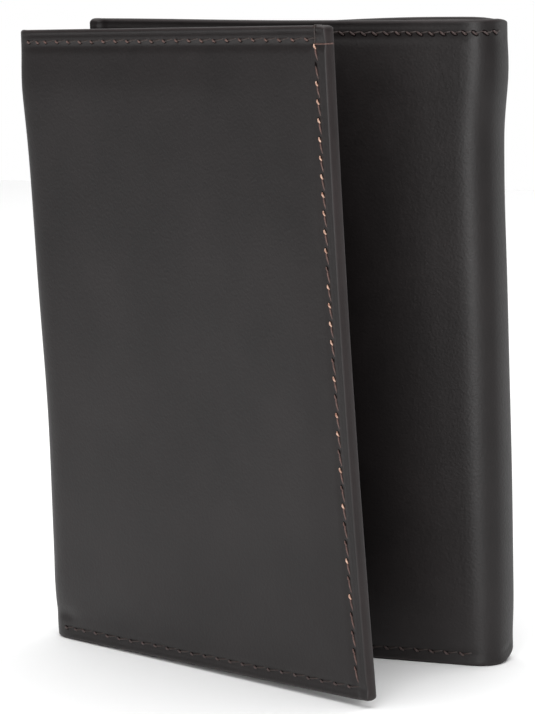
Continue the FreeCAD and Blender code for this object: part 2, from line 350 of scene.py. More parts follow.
def add_ramp(nodes, dark, light, start=0.0, end=1.0):
    """Colour ramp from dark to light."""
    node = nodes.new("ShaderNodeValToRGB")
    for element, position, colour in zip(node.color_ramp.elements, (start, end), (dark, light)):
        element.position = position
        element.color = (*colour, 1)
    return node


def leather(name, dark, light, roughness=(0.42, 0.56), grain=0.48, shine=0.42):
    """Smooth dyed leather: fine pebbled grain, pores, and cloudy dye."""
    material, nodes, links = new_material(name)
    shader = nodes["Principled BSDF"]
    place_in = add_node(nodes, "ShaderNodeTexCoord")
    cloud = add_node(nodes, "ShaderNodeTexNoise", scale=60.0, detail=5.0, roughness=0.6)
    fine = add_node(nodes, "ShaderNodeTexNoise", scale=900.0, detail=4.0, roughness=0.65)
    cells = add_node(nodes, "ShaderNodeTexVoronoi", feature="SMOOTH_F1",
                     scale=1.0 / (GRAIN_SIZE * MM))
    pores = add_node(nodes, "ShaderNodeTexNoise", scale=2600.0, detail=3.0)
    warp = add_node(nodes, "ShaderNodeMixRGB", blend_type="ADD", fac=0.0006)
    for texture in (cloud, fine, pores):
        links.new(place_in.outputs["Object"], texture.inputs["Vector"])
    links.new(place_in.outputs["Object"], warp.inputs["Color1"])
    links.new(fine.outputs["Color"], warp.inputs["Color2"])
    links.new(warp.outputs["Color"], cells.inputs["Vector"])
    tint = add_ramp(nodes, dark, light, 0.34, 0.70)
    links.new(cloud.outputs["Fac"], tint.inputs["Fac"])
    speck = add_node(nodes, "ShaderNodeMixRGB", blend_type="MULTIPLY", fac=0.35)
    links.new(tint.outputs["Color"], speck.inputs["Color1"])
    links.new(fine.outputs["Fac"], speck.inputs["Color2"])
    links.new(speck.outputs["Color"], shader.inputs["Base Color"])
    gloss = add_node(nodes, "ShaderNodeMapRange", to_min=roughness[0], to_max=roughness[1])
    links.new(fine.outputs["Fac"], gloss.inputs["Value"])
    links.new(gloss.outputs["Result"], shader.inputs["Roughness"])
    shader.inputs["IOR"].default_value = 1.45
    shader.inputs["Specular IOR Level"].default_value = shine
    first = add_node(nodes, "ShaderNodeBump", strength=grain, distance=0.05 * MM)
    second = add_node(nodes, "ShaderNodeBump", strength=grain, distance=0.03 * MM)
    links.new(cells.outputs["Distance"], first.inputs["Height"])
    links.new(pores.outputs["Fac"], second.inputs["Height"])
    links.new(first.outputs["Normal"], second.inputs["Normal"])
    links.new(second.outputs["Normal"], shader.inputs["Normal"])
    return material


def thread_material(name, dark, light):
    """Twisted waxed thread."""
    material, nodes, links = new_material(name)
    shader = nodes["Principled BSDF"]
    place_in = add_node(nodes, "ShaderNodeTexCoord")
    twist = add_node(nodes, "ShaderNodeTexNoise", scale=2500.0, detail=3.0)
    tint = add_ramp(nodes, dark, light, 0.3, 0.7)
    bump = add_node(nodes, "ShaderNodeBump", strength=0.5, distance=0.04 * MM)
    links.new(place_in.outputs["Object"], twist.inputs["Vector"])
    links.new(twist.outputs["Fac"], tint.inputs["Fac"])
    links.new(tint.outputs["Color"], shader.inputs["Base Color"])
    links.new(twist.outputs["Fac"], bump.inputs["Height"])
    links.new(bump.outputs["Normal"], shader.inputs["Normal"])
    shader.inputs["Roughness"].default_value = 0.5
    return material


def woven(name, dark, light):
    """Fine lining cloth in a plain weave."""
    material, nodes, links = new_material(name)
    shader = nodes["Principled BSDF"]
    place_in = add_node(nodes, "ShaderNodeTexCoord")
    weave = []
    for direction in ("X", "Z"):
        wave = add_node(nodes, "ShaderNodeTexWave", bands_direction=direction, scale=900.0,
                        distortion=0.4)
        links.new(place_in.outputs["Object"], wave.inputs["Vector"])
        weave.append(wave)
    cross = add_node(nodes, "ShaderNodeMixRGB", blend_type="MULTIPLY", fac=1.0)
    links.new(weave[0].outputs["Color"], cross.inputs["Color1"])
    links.new(weave[1].outputs["Color"], cross.inputs["Color2"])
    tint = add_ramp(nodes, dark, light)
    links.new(cross.outputs["Color"], tint.inputs["Fac"])
    links.new(tint.outputs["Color"], shader.inputs["Base Color"])
    bump = add_node(nodes, "ShaderNodeBump", strength=0.4, distance=0.05 * MM)
    links.new(cross.outputs["Color"], bump.inputs["Height"])
    links.new(bump.outputs["Normal"], shader.inputs["Normal"])
    shader.inputs["Roughness"].default_value = 0.8
    shader.inputs["Sheen Weight"].default_value = 0.3
    return material


SHELL = leather("shell_leather", (0.008, 0.006, 0.006), (0.014, 0.011, 0.011))
EDGE = leather("shell_edge", (0.013, 0.009, 0.009), (0.024, 0.017, 0.017), roughness=(0.45, 0.6),
               grain=0.2)
INNER = leather("inner_leather", (0.014, 0.010, 0.009), (0.024, 0.017, 0.015), grain=0.3)
DARK_THREAD = thread_material("dark_thread", (0.012, 0.008, 0.007), (0.034, 0.021, 0.018))
BROWN_THREAD = thread_material("brown_thread", (0.050, 0.026, 0.021), (0.12, 0.062, 0.050))
FADED_THREAD = thread_material("faded_thread", (0.022, 0.014, 0.013), (0.065, 0.040, 0.036))
# copper thread for the knots of the front flap's side row; its pale cream light end is painted
# highlight, spread over the knots by the twist noise
COPPER_THREAD_AND_GLINT = thread_material("copper_thread_and_painted_glint", (0.25, 0.11, 0.07), (0.68, 0.46, 0.35))
# near-black leather with almost no shine for the needle holes: painted shade, standing in for the
# shadow inside each hole
HOLE_SHADE = leather("needle_hole_shade", (0.004, 0.003, 0.003), (0.008, 0.006, 0.006), grain=0.1, shine=0.03)
LINING = woven("lining_fabric", (0.012, 0.009, 0.008), (0.060, 0.045, 0.038))


def vinyl(name):
    """Clear, slightly hazy and scuffed window sheet."""
    material, nodes, links = new_material(name)
    shader = nodes["Principled BSDF"]
    place_in = add_node(nodes, "ShaderNodeTexCoord")
    scuffs = add_node(nodes, "ShaderNodeTexNoise", scale=120.0, detail=6.0, roughness=0.7)
    gloss = add_node(nodes, "ShaderNodeMapRange", to_min=0.05, to_max=0.32)
    links.new(place_in.outputs["Object"], scuffs.inputs["Vector"])
    links.new(scuffs.outputs["Fac"], gloss.inputs["Value"])
    links.new(gloss.outputs["Result"], shader.inputs["Roughness"])
    shader.inputs["Base Color"].default_value = (0.60, 0.62, 0.63, 1)
    shader.inputs["Alpha"].default_value = 0.12
    shader.inputs["IOR"].default_value = 1.5
    return material


VINYL = vinyl("clear_vinyl")

# ------------------------------------------------------------------------------------ layer meshes
ARC = 7
ROUNDING = 0.45
CORNER = 0.8
END_STEPS = 6
# exponents of the rounded free end: how square it is and how quickly it swells to full thickness
END_SQUARENESS = 2.6
END_SWELLING = 0.4


def flat_size(node):
    """Bounds of a CAD node laid flat: (s, v and z of the low corner, s, v and z of the high one)."""
    mesh = frame["nodes"][node]
    corners = np.array([vertex.co for vertex in mesh.data.vertices], float) / MM
    back = moved(np.linalg.inv(REST[mesh["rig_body"]]), corners[:, :2])
    flat = np.stack([back[:, 0], -back[:, 1], corners[:, 2]], 1)
    return flat.min(0), flat.max(0)


def spaced(start, end, coarse, dense=(), fine=0.3, near=1.2):
    """Rising values from start to end that lie close together beside each dense place."""
    values = [start]
    while values[-1] < end:
        distance = min([abs(values[-1] - there) for there in dense] + [end - start])
        ease = float(smoothstep((distance - near) / (3 * near)))
        values.append(values[-1] + fine + (coarse - fine) * ease)
    if len(values) > 2 and end - values[-2] < fine / 2:
        values.pop()
    values[-1] = end
    return np.array(values)


def ends_rounded(values, free_low, free_high, rounding):
    """Column positions with the first and last replaced by those of a rounded edge."""
    steps = rounding * (1 - np.cos(np.linspace(0, QUARTER, END_STEPS)))
    low_end, high_end = values[0], values[-1]
    inner = values[(values > low_end + rounding * 1.3) & (values < high_end - rounding * 1.3)]
    first = low_end + steps if free_low else np.array([low_end])
    last = high_end - steps[::-1] if free_high else np.array([high_end])
    return np.concatenate([first, inner, last])


def layer(name, holder, s_range, z_range, outer, inner, materials, free=(True, True), dense_s=(),
          dense_z=(), coarse=(1.8, 1.8), rounding=ROUNDING):
    """Sheet of leather, cloth or vinyl with thickness and rounded edges, folded as its holder is.

    Every column is a ring of points: up the outside, over the top, down the inside, and back.
    """
    columns = ends_rounded(spaced(*s_range, coarse[0], dense_s), *free, rounding)
    height = z_range[1] - z_range[0]
    fractions = (spaced(*z_range, coarse[1], dense_z) - z_range[0]) / height
    rows = len(fractions)
    arc = np.linspace(0, math.pi, ARC + 2)[1:-1]
    ring_f = np.concatenate([fractions, np.ones(ARC), fractions[::-1], np.zeros(ARC)])
    side = np.concatenate([np.ones(rows), np.cos(arc), -np.ones(rows), -np.cos(arc)])
    lift = np.concatenate([np.zeros(rows), np.sin(arc), np.zeros(rows), -np.sin(arc)])
    around = len(ring_f)

    gap = np.full(len(columns), height)
    if free[0]:
        gap = np.minimum(gap, columns - columns[0])
    if free[1]:
        gap = np.minimum(gap, columns[-1] - columns)
    inside = np.clip(CORNER - gap, 0, CORNER)
    pull = CORNER - np.sqrt(CORNER**2 - inside**2)
    end_share = np.clip(rounding - gap, 0, rounding) / rounding
    thin = np.clip(1 - end_share**END_SQUARENESS, 0.0001, 1) ** END_SWELLING
    low_z = (z_range[0] + pull + rounding)[:, None]
    high_z = (z_range[1] - pull - rounding)[:, None]
    z_face = low_z + (high_z - low_z) * ring_f[None]
    s = np.repeat(columns[:, None], around, 1)
    v_out = outer(s, z_face)
    v_in = inner(s, z_face)
    v = (v_out + v_in) / 2 - (v_in - v_out) / 2 * side[None] * thin[:, None]
    z = z_face + rounding * lift[None] * thin[:, None]
    points = place(s.ravel(), v.ravel(), z.ravel(), holder)

    faces, slots = [], []
    on_edge = np.abs(lift + np.roll(lift, -1)) > 0
    edge_columns = gap < rounding * 0.5
    for column in range(len(columns) - 1):
        end_column = edge_columns[column] and edge_columns[column + 1]
        for step in range(around):
            after = (step + 1) % around
            faces.append((column * around + step, column * around + after,
                          (column + 1) * around + after, (column + 1) * around + step))
            slots.append(int(end_column or on_edge[step]))
    middle = ARC // 2
    low_arc = [(2 * rows + 2 * ARC - 1 - k, 2 * rows + ARC + k) for k in range(middle - 1, -1, -1)]
    faces_up = [(k, 2 * rows + ARC - 1 - k) for k in range(rows)]
    high_arc = [(rows + k, rows + ARC - 1 - k) for k in range(middle)]
    pairs = low_arc + faces_up + high_arc
    tips = (2 * rows + ARC + middle, rows + middle)
    for column, is_last in ((0, False), (len(columns) - 1, True)):
        base = len(points)
        points = np.concatenate([points, points[column * around:(column + 1) * around]])
        caps = [(a, b, d, c) for (a, b), (c, d) in zip(pairs, pairs[1:])]
        caps.append((tips[0], pairs[0][1], pairs[0][0]))
        caps.append((pairs[-1][0], pairs[-1][1], tips[1]))
        for cap in caps:
            cap = tuple(base + index for index in cap)
            faces.append(cap if not is_last else cap[::-1])
            slots.append(1)
    if len(materials) == 1:
        slots = [0] * len(slots)
    piece = add_mesh(name, points, faces, materials, slots)
    attach(piece, holder)
    return piece


# ------------------------------------------------------------------------------- surface of layers
SHARP_FOLDS = (S_LEFT_FOLD, S_SPINE, S_RIGHT_SPINE, S_RIGHT_FOLD)
# how far the threads lie below the middle of their CAD rows
TOP_ROW_DROP = 0.35
BOTTOM_ROW_DROP = 0.6
# pressed-in lines under the rows, measured from the rim.  STITCH_INSET is the bottom row's, and the
# CAD's top row lies nearer its rim, so the top line runs about 0.7 mm below its thread.
TOP_ROW = STITCH_INSET + TOP_ROW_DROP
BOTTOM_ROW = STITCH_INSET - BOTTOM_ROW_DROP
HELD_EASE = 9.0
FOLD_HALF_WIDTH = 1.0
FOLD_EASE = 5.0
TURNED_WIDTH = 1.5
TURNED_THICKNESS = 1.15
TURNED_EASE = 0.9
SWELL = 0.30
RIPPLE_HEIGHT = 0.22
SEAM_DEPTH = 0.22
SEAM_REACH = 0.75
CREASE_DEPTH = 0.12
CREASE_INSET = 0.95
CREASE_REACH = 0.16
DENT_PLACE = (S_LEFT_FOLD - 3.5, 4.6)
DENT_REACH = (3.0, 1.3)
DENT_DEPTH = 0.45
LINING_SLACK = 0.06
WALL_CLEARANCE = 0.02
WALL_EASE = 8.0
WALL_THICKNESS = -low("centre_bill_wall").y + high("centre_bill_wall").y
WALL_LIFT = WALL_FRONT - LINING_FRONT - WALL_THICKNESS


def ripple(s, z, seed):
    """Slow, uneven swell of soft leather, between about -1 and 1."""
    return (
        np.sin(s / 11.0 + z / 23.0 + seed)
        + np.sin(s / 17.0 - z / 14.0 + 2.1 * seed)
        + 0.6 * np.sin(s / 6.1 + z / 37.0 + 3.7 * seed)
        + 0.5 * np.sin(s / 29.0 + z / 7.3 + 5.3 * seed)
    ) / 3.1


def held(s, z):
    """0 on the stitched rims of the wallet and 1 well inside them."""
    rims = np.minimum(np.minimum(s - S_FLAP_EDGE, S_TUCK_EDGE - s), np.minimum(z, HEIGHT - z))
    return smoothstep((rims - STITCH_INSET) / HELD_EASE)


def off_folds(s):
    """0 on the rounded folds and 1 away from them."""
    away = [np.abs(s - fold) - FOLD_HALF_WIDTH for fold in SHARP_FOLDS]
    return np.min([smoothstep(distance / FOLD_EASE) for distance in away], 0)


def seam_dip(s, z):
    """How far the leather is pressed in along the seams: 1 on a pressed-in line, 0 away from it."""
    rims = [
        s - S_FLAP_EDGE - STITCH_INSET,
        S_TUCK_EDGE - s - STITCH_INSET,
        z - BOTTOM_ROW,
        HEIGHT - z - TOP_ROW,
    ]
    return off_folds(s) * np.max([np.exp(-((rim / SEAM_REACH) ** 2)) for rim in rims], 0)


def shell_outer(s, z):
    """Outside of the shell leather."""
    soft = held(s, z)
    rim = np.min([s - S_FLAP_EDGE, S_TUCK_EDGE - s, z, HEIGHT - z], 0)
    crease = np.exp(-(((rim - CREASE_INSET) / CREASE_REACH) ** 2))
    dent = np.exp(-(((s - DENT_PLACE[0]) / DENT_REACH[0]) ** 2)
                  - ((z - DENT_PLACE[1]) / DENT_REACH[1]) ** 2)
    return (-HALF_SHELL - SWELL * soft - RIPPLE_HEIGHT * soft * ripple(s, z, 0.4)
            + DENT_DEPTH * dent
            + SEAM_DEPTH * seam_dip(s, z) + CREASE_DEPTH * crease * off_folds(s))


def turned_edge(s):
    """1 where the shell leather is turned over the layers at a free edge, 0 elsewhere."""
    rim = np.minimum(s - S_FLAP_EDGE, S_TUCK_EDGE - s)
    return 1 - smoothstep((rim - TURNED_WIDTH) / TURNED_EASE)


def shell_inner(s, z):
    """Inside of the shell leather, turned over at the free edges."""
    return HALF_SHELL + TURNED_THICKNESS * turned_edge(s)


def lining_outer(s, z):
    """Side of the lining that lies on the shell."""
    return np.full_like(s, HALF_SHELL)


def lining_inner(s, z):
    """Inside of the lining cloth, which slackens between the seams."""
    return LINING_FRONT + LINING_SLACK * held(s, z) * ripple(s, z, 2.2)


def wall_outer(s, z):
    """Hidden side of the bill compartment's wall, sewn down at the bottom and at both ends."""
    rims = np.min([s - S_FLAP_EDGE, S_TUCK_EDGE - s, z], 0)
    lifted = smoothstep((rims - STITCH_INSET) / WALL_EASE)
    return LINING_FRONT + WALL_CLEARANCE + (WALL_LIFT - WALL_CLEARANCE) * lifted


def wall_inner(s, z):
    """Inner face of the bill compartment's wall."""
    return wall_outer(s, z) + WALL_THICKNESS


UNDER_TURNING = TURNED_WIDTH + 0.5
FOLD_LINES = [fold.s for fold in FOLDS.values()]
RIM_ROWS = [S_FLAP_EDGE + STITCH_INSET, S_TUCK_EDGE - STITCH_INSET]
FOLD_NODES = {
    "flap_crease": ("front_flap",),
    "left_fold": ("left_gusset_b",),
    "spine": ("left_gusset_a",),
    "right_spine": ("centre", "right_gusset"),
    "right_fold": ("tuck_flap",),
}
# suffix of the CAD nodes, heights, outer and inner surface, skins, slot, dense heights, spacing
PLAIN_LAYERS = [
    ("shell", (0.0, HEIGHT), shell_outer, shell_inner, [SHELL, EDGE], "shell_leather",
     (BOTTOM_ROW, HEIGHT - TOP_ROW, 0.9, HEIGHT - 0.9), (1.8, 1.8)),
    ("lining", (low("centre_lining").z, high("centre_lining").z), lining_outer, lining_inner,
     [LINING], "lining_fabric", (), (2.4, 6.0)),
    ("bill_wall", (low("centre_bill_wall").z, WALL_TOP), wall_outer, wall_inner, [INNER],
     "inner_leather", (STITCH_INSET, WALL_TOP - 1.0), (2.4, 4.0)),
]
for suffix, z_range, outer, inner, skins, slot_name, dense_z, coarse in PLAIN_LAYERS:
    middle = np.array([0.0]), np.array([50.0])
    thickness = float((inner(*middle) - outer(*middle))[0])
    for fold, s_low, s_high in CUTS:
        nodes_here = [f"{panel}_{suffix}" for panel in FOLD_NODES[fold]]
        free = (s_low == S_FLAP_EDGE, s_high == S_TUCK_EDGE)
        if suffix != "shell":
            s_low += UNDER_TURNING * free[0]
            s_high -= UNDER_TURNING * free[1]
        piece = layer(
            f"{fold}_{suffix}_skin", fold, (s_low, s_high), z_range, outer, inner, skins, free=free,
            dense_s=FOLD_LINES + (RIM_ROWS if suffix == "shell" else []), dense_z=dense_z,
            coarse=coarse, rounding=min(ROUNDING, thickness / 2),
        )
        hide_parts(*nodes_here)

# ---------------------------------------------------------------------------------- hems and slots
CROWN_REACH = 12.0
LIP_INSET = 1.4
LIP_REACH = 0.22
LIP_DEPTH = 0.1


def constant(value):
    """A surface at one depth."""
    return lambda s, z: np.full_like(s, value)


def crowned(value, s_range, z_range, crown, mouth=None):
    """Surface of a pocket leaf: slightly full in the middle, with a creased line by its mouth."""
    def surface(s, z):
        rim = np.min([s - s_range[0], s_range[1] - s, z - z_range[0], z_range[1] - z], 0)
        v = value + crown * smoothstep(rim / CROWN_REACH) * (1 + 0.5 * ripple(s, z, value))
        if mouth is not None:
            from_mouth = np.abs(s - mouth)
            v = v - LIP_DEPTH * np.exp(-(((from_mouth - LIP_INSET) / LIP_REACH) ** 2))
        return v
    return surface


def patch(node, body, skin, crown=0.06, mouth=None):
    """Leaf of leather, cloth or vinyl that lies where its CAD node does."""
    (s0, v0, z0), (s1, v1, z1) = flat_size(node)
    piece = layer(
        f"{node}_skin", body, (s0, s1), (z0, z1), constant(v0),
        crowned(v1, (s0, s1), (z0, z1), crown, mouth), [skin],
        dense_s=() if mouth is None else (mouth,), dense_z=(z0 + 1, z1 - 1), coarse=(2.4, 4.0),
        rounding=(v1 - v0) / 2,
    )
    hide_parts(node)


for panel in ("front_flap", "centre", "tuck_flap"):
    patch(f"{panel}_top_hem", panel, INNER)
for panel in ("front_flap", "tuck_flap"):
    patch(f"{panel}_slot_backing", panel, LINING)
    for number in (1, 2, 3):
        node = f"{panel}_card_slot_{number}"
        mouth_corner = flat_size(node)[1 if panel == "front_flap" else 0]
        patch(node, panel, INNER, mouth=mouth_corner[0])
patch("centre_slip_pocket", "centre", INNER)
patch("id_window_vinyl", "centre", VINYL, crown=0.0)


WINDOW_WIDTH = 50.0
WINDOW_HEIGHT = 80.0
WINDOW_RADIUS = 4.0


def rounded_outline(s0, s1, z0, z1, radius):
    """Corner-rounded rectangle as points, anticlockwise from the lower right."""
    per_corner = 9
    points = []
    centres = ((s1 - radius, z0 + radius, -QUARTER), (s1 - radius, z1 - radius, 0.0),
               (s0 + radius, z1 - radius, QUARTER), (s0 + radius, z0 + radius, 2 * QUARTER))
    for s, z, first in centres:
        for step in range(per_corner):
            angle = first + QUARTER * step / (per_corner - 1)
            points.append((s + radius * math.cos(angle), z + radius * math.sin(angle)))
    return np.array(points)


def with_steps(points, count):
    """Points of a closed outline with extra ones along its straight runs."""
    shortest_run = 5.0
    dense = []
    for here, there in zip(points, np.roll(points, -1, 0)):
        steps = count if np.linalg.norm(there - here) > shortest_run else 1
        dense.extend(here + (there - here) * (k / steps) for k in range(steps))
    return np.array(dense)


def window_frame(node, vinyl_node):
    """Leather frame of the identity window, rounded over at the opening."""
    (s0, _, z0), (s1, v1, z1) = flat_size(node)
    v0 = flat_size("centre_slip_pocket")[1][1]
    vinyl_low, vinyl_high = flat_size(vinyl_node)
    side_lap = (vinyl_high[0] - vinyl_low[0] - WINDOW_WIDTH) / 2
    lap = (vinyl_high[2] - vinyl_low[2] - WINDOW_HEIGHT) / 2
    opening = rounded_outline(vinyl_low[0] + side_lap, vinyl_high[0] - side_lap,
                              vinyl_low[2] + lap, vinyl_high[2] - lap, WINDOW_RADIUS)
    rim = rounded_outline(s0, s1, z0, z1, CORNER)
    opening, rim = with_steps(opening, 18), with_steps(rim, 18)
    half = (v1 - v0) / 2
    arc = np.linspace(0, 2 * QUARTER, 7)
    shares = np.linspace(0, 1, 6)
    profile = [(share, 0.0, 1.0) for share in shares]
    profile += [(1.0, math.sin(angle), math.cos(angle)) for angle in arc[1:-1]]
    profile += [(share, 0.0, -1.0) for share in shares[::-1]]
    profile += [(0.0, -math.sin(angle), -math.cos(angle)) for angle in arc[1:-1]]
    flats = []
    for outer_point, inner_point in zip(rim, opening):
        step = inner_point - outer_point
        unit = step / np.linalg.norm(step)
        for share, out, face in profile:
            spot = outer_point + unit * half + (step - 2 * unit * half) * share + unit * half * out
            flats.append((spot[0], (v0 + v1) / 2 + half * face, spot[1]))
    flats = np.array(flats)
    points = place(flats[:, 0], flats[:, 1], flats[:, 2], "centre")
    ring, count = len(profile), len(rim)
    faces = [
        (k * ring + step, k * ring + (step + 1) % ring,
         (k + 1) % count * ring + (step + 1) % ring, (k + 1) % count * ring + step)
        for k in range(count) for step in range(ring)
    ]
    piece = add_mesh(f"{node}_skin", points, faces, [INNER])
    attach(piece, "centre")
    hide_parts(node)


window_frame("id_window_frame", "id_window_vinyl")


# ---------------------------------------------------------------------------------------- stitches
# slots of a seam's materials
DARK, KNOT, PIT_SHADE, BROWN = range(4)
# any direction that no thread runs in, to build the thread's round section from
SOME_WAY = (0.31, 0.87, 0.39)
THREAD_STEPS = np.linspace(0, 1, 9)
THREAD_RADIUS = 0.10
THREAD_SWELL = 0.05
THREAD_SUNK = 0.10
THREAD_ARCH = 0.17
BEAD_ARCH = 0.26
BEAD_END = 0.97
# how far the painted shade round a needle hole stands over the surface, at its centre and at its rim
PIT_CENTRE_LIFT = 0.06
PIT_RIM_LIFT = 0.02
# how much longer and wider than its knot the painted shade round a needle hole is
PIT_MARGIN = (1.3, 2.4)
WRAP_RADIUS = 0.12
FRAME_THREAD_RADIUS = 0.17
WOBBLE = 0.07 * 0.6
# share of the pitch that a thread runs over, and how far its start is set off the row
RUN_SHARE = 0.74
RUN_RISE = 0.55
# share of full thickness kept by the darker, thinner knots low on a row
DIMMED_KNOT_THICKNESS = 0.75


def tube(path, radii, sides=8):
    """Points and faces of a thread along a path of points in space."""
    path = np.asarray(path)
    points, faces = [], []
    tangent = np.gradient(path, axis=0)
    for spot, way, radius in zip(path, tangent, radii):
        way = way / np.linalg.norm(way)
        across = np.cross(way, SOME_WAY)
        across /= np.linalg.norm(across)
        other = np.cross(way, across)
        for k in range(sides):
            angle = 2 * math.pi * k / sides
            points.append(spot + radius * (across * math.cos(angle) + other * math.sin(angle)))
    for ring in range(len(path) - 1):
        for k in range(sides):
            after = (k + 1) % sides
            faces.append((ring * sides + k, ring * sides + after,
                          (ring + 1) * sides + after, (ring + 1) * sides + k))
    faces.append(tuple(range(sides))[::-1])
    faces.append(tuple((len(path) - 1) * sides + k for k in range(sides)))
    return points, faces


class Seam:
    """Collects the threads and needle holes of one row of stitches."""

    def __init__(self, holder, knots=BROWN_THREAD):
        self.holder = holder
        self.knots = knots
        self.points = []
        self.faces = []
        self.slots = []

    def add(self, points, faces, slot_index):
        """Points and faces in the material of one slot."""
        base = len(self.points)
        self.points.extend(points)
        self.faces.extend(tuple(base + index for index in face) for face in faces)
        self.slots.extend([slot_index] * len(faces))

    def thread(self, flats, radii, slot_index):
        """Thread through flat points (s, v, z)."""
        flats = np.asarray(flats)
        self.add(*tube(place(flats[:, 0], flats[:, 1], flats[:, 2], self.holder), radii), slot_index)

    def pit(self, s, v, z, long, wide, tilt):
        """Dark oval round a needle hole, just over the surface at depth v: painted shade that stands in
        for the shadow inside the hole.
        """
        sides = 14
        spots, faces = [(s, v - PIT_CENTRE_LIFT, z)], []
        for k in range(sides):
            angle = 2 * math.pi * k / sides
            a, b = long * math.cos(angle), wide * math.sin(angle)
            spots.append((s + a * math.cos(tilt) - b * math.sin(tilt), v - PIT_RIM_LIFT,
                          z + a * math.sin(tilt) + b * math.cos(tilt)))
            faces.append((0, 1 + k, 1 + (k + 1) % sides))
        flats = np.array(spots)
        self.add(place(flats[:, 0], flats[:, 1], flats[:, 2], self.holder), faces, PIT_SHADE)

    def finish(self, name, node):
        """Make the object that stands for one CAD row of stitches."""
        materials = [DARK_THREAD, self.knots, HOLE_SHADE, BROWN_THREAD]
        piece = add_mesh(name, self.points, self.faces, materials, self.slots)
        attach(piece, self.holder)
        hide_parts(node)


def surface_at(s, z):
    """Depth of the shell's outside at one place."""
    return float(shell_outer(np.array([float(s)]), np.array([float(z)]))[0])


def thread_run(seam, start, end, slot_index):
    """Thread that comes out of the leather, arches over it and goes in again."""
    path, radii = [], []
    for t in THREAD_STEPS:
        spot = start + (end - start) * t
        arch = math.sin(math.pi * min(max(t, 0.04), 0.96))
        path.append((spot[0], surface_at(*spot) + THREAD_SUNK - THREAD_ARCH * arch, spot[1]))
        radii.append(THREAD_RADIUS + THREAD_SWELL * arch)
    seam.thread(path, radii, slot_index)


def bead(seam, head, depth, slant, thickness, slot_index):
    """Knot that stands out of its needle hole."""
    ways = np.linspace(-BEAD_END, BEAD_END, len(THREAD_STEPS))
    path = [(head[0] + slant[0] * t, depth + THREAD_SUNK - BEAD_ARCH * math.cos(QUARTER * t),
             head[1] + slant[1] * t) for t in ways]
    seam.thread(path, [thickness * math.sqrt(1 - t * t) + 0.02 for t in ways], slot_index)


def saddle_row(seam, first, last, pitch, tilt, knot, wobble_seed, bare=(), run_slot=DARK,
               worn_below=None):
    """Row of saddle stitches: each runs over the leather and dives at its knot.

    Stitches at the bare places, counted from the end, have lost their knot, and below the given height
    more and more of the knots are thinner and in the darker brown thread, so the row darkens towards
    the bottom.
    """
    length = float(np.linalg.norm(np.subtract(last, first)))
    count = max(int(round(length / pitch)), 2)
    way = np.subtract(last, first) / length
    for k in range(count):
        wobble = WOBBLE * math.sin(5.1 * k + wobble_seed)
        head = np.add(first, way * (k + 0.5) * length / count) + np.array([wobble, -wobble])
        tail = head - way * (length / count) * RUN_SHARE
        rise = np.array([-way[1], way[0]]) * math.sin(tilt) * RUN_RISE
        thread_run(seam, tail + rise, head - rise * 0.2, run_slot)
        depth = surface_at(*head)
        # painted shade round the needle hole
        seam.pit(head[0], depth, head[1], knot[0] * PIT_MARGIN[0], knot[1] * PIT_MARGIN[1], tilt)
        if count - 1 - k in bare:
            continue
        # below the given height more knots are thinner and brown: the row gets darker towards the
        # bottom
        chance = 0.5 + 0.5 * math.sin(2.6 * k + 0.8)
        worn = worn_below is not None and chance > head[1] / worn_below
        slant = np.array([math.cos(tilt), math.sin(tilt)]) * knot[0]
        bead(seam, head, depth, slant, knot[1] * (DIMMED_KNOT_THICKNESS if worn else 1.0),
             BROWN if worn else KNOT)


def wrap(seam, start, rim, over_top):
    """Thread carried from the seam to the rim of the leather and over it."""
    s0, z0 = start
    outside = surface_at(s0, z0)
    inside = HALF_SHELL + TURNED_THICKNESS
    path = [(t, outside + 0.02) for t in np.linspace(0, 1, 7)]
    for angle in np.linspace(0.2, 1.4 * QUARTER, 9):
        path.append((1.0, (outside + inside) / 2 - (inside - outside) / 2 * math.cos(angle)))
    flats = []
    for t, v in path:
        sideways, upwards = (s0, z0 + (rim - z0) * t) if over_top else (s0 + (rim - s0) * t, z0)
        flats.append((sideways, v, upwards))
    seam.thread(flats, [WRAP_RADIUS] * len(flats), DARK if over_top else BROWN)


# pitches of the rows, and half length and thickness of their knots
ROW_PITCH = 3.2
SIDE_PITCH = 2.9
ROW_TILT = math.radians(32)
ROW_KNOT = (0.46, 0.15)
TUCK_KNOT = (0.60, 0.17)
SEWN_PANELS = (("left_gusset_b", "left_fold"), ("front_flap", "flap_crease"),
               ("centre", "centre"), ("tuck_flap", "right_fold"))


def level_row(panel, holder, edge, drop, pitch, knot, knots, start=None, further=0.0):
    """Row along the top or bottom of a panel, a little below its CAD row."""
    node = f"{panel}_{edge}_stitches"
    lows, highs = flat_size(node)
    height = (lows[2] + highs[2]) / 2 - drop
    first = lows[0] if start is None else start
    seam = Seam(holder, knots)
    saddle_row(seam, (first, height), (highs[0] + further, height), pitch, ROW_TILT, knot,
               len(panel))
    seam.finish(f"{panel}_{edge}_seam", node)


def side_row(panel, name, tilt, knot, wobble_seed, knots=BROWN_THREAD, wrapped=False, **row_options):
    """Row up the free edge of a flap, its thread wrapped over the front flap's top corner if asked."""
    node = f"{panel}_side_stitches"
    lows, highs = flat_size(node)
    s = (lows[0] + highs[0]) / 2
    seam = Seam(panel, knots)
    saddle_row(seam, (s, lows[2]), (s, highs[2]), SIDE_PITCH, tilt, knot, wobble_seed, **row_options)
    if wrapped:
        wrap(seam, (s, HEIGHT - TOP_ROW), HEIGHT, over_top=True)
        wrap(seam, (s, HEIGHT - TOP_ROW), S_FLAP_EDGE, over_top=False)
    seam.finish(name, node)


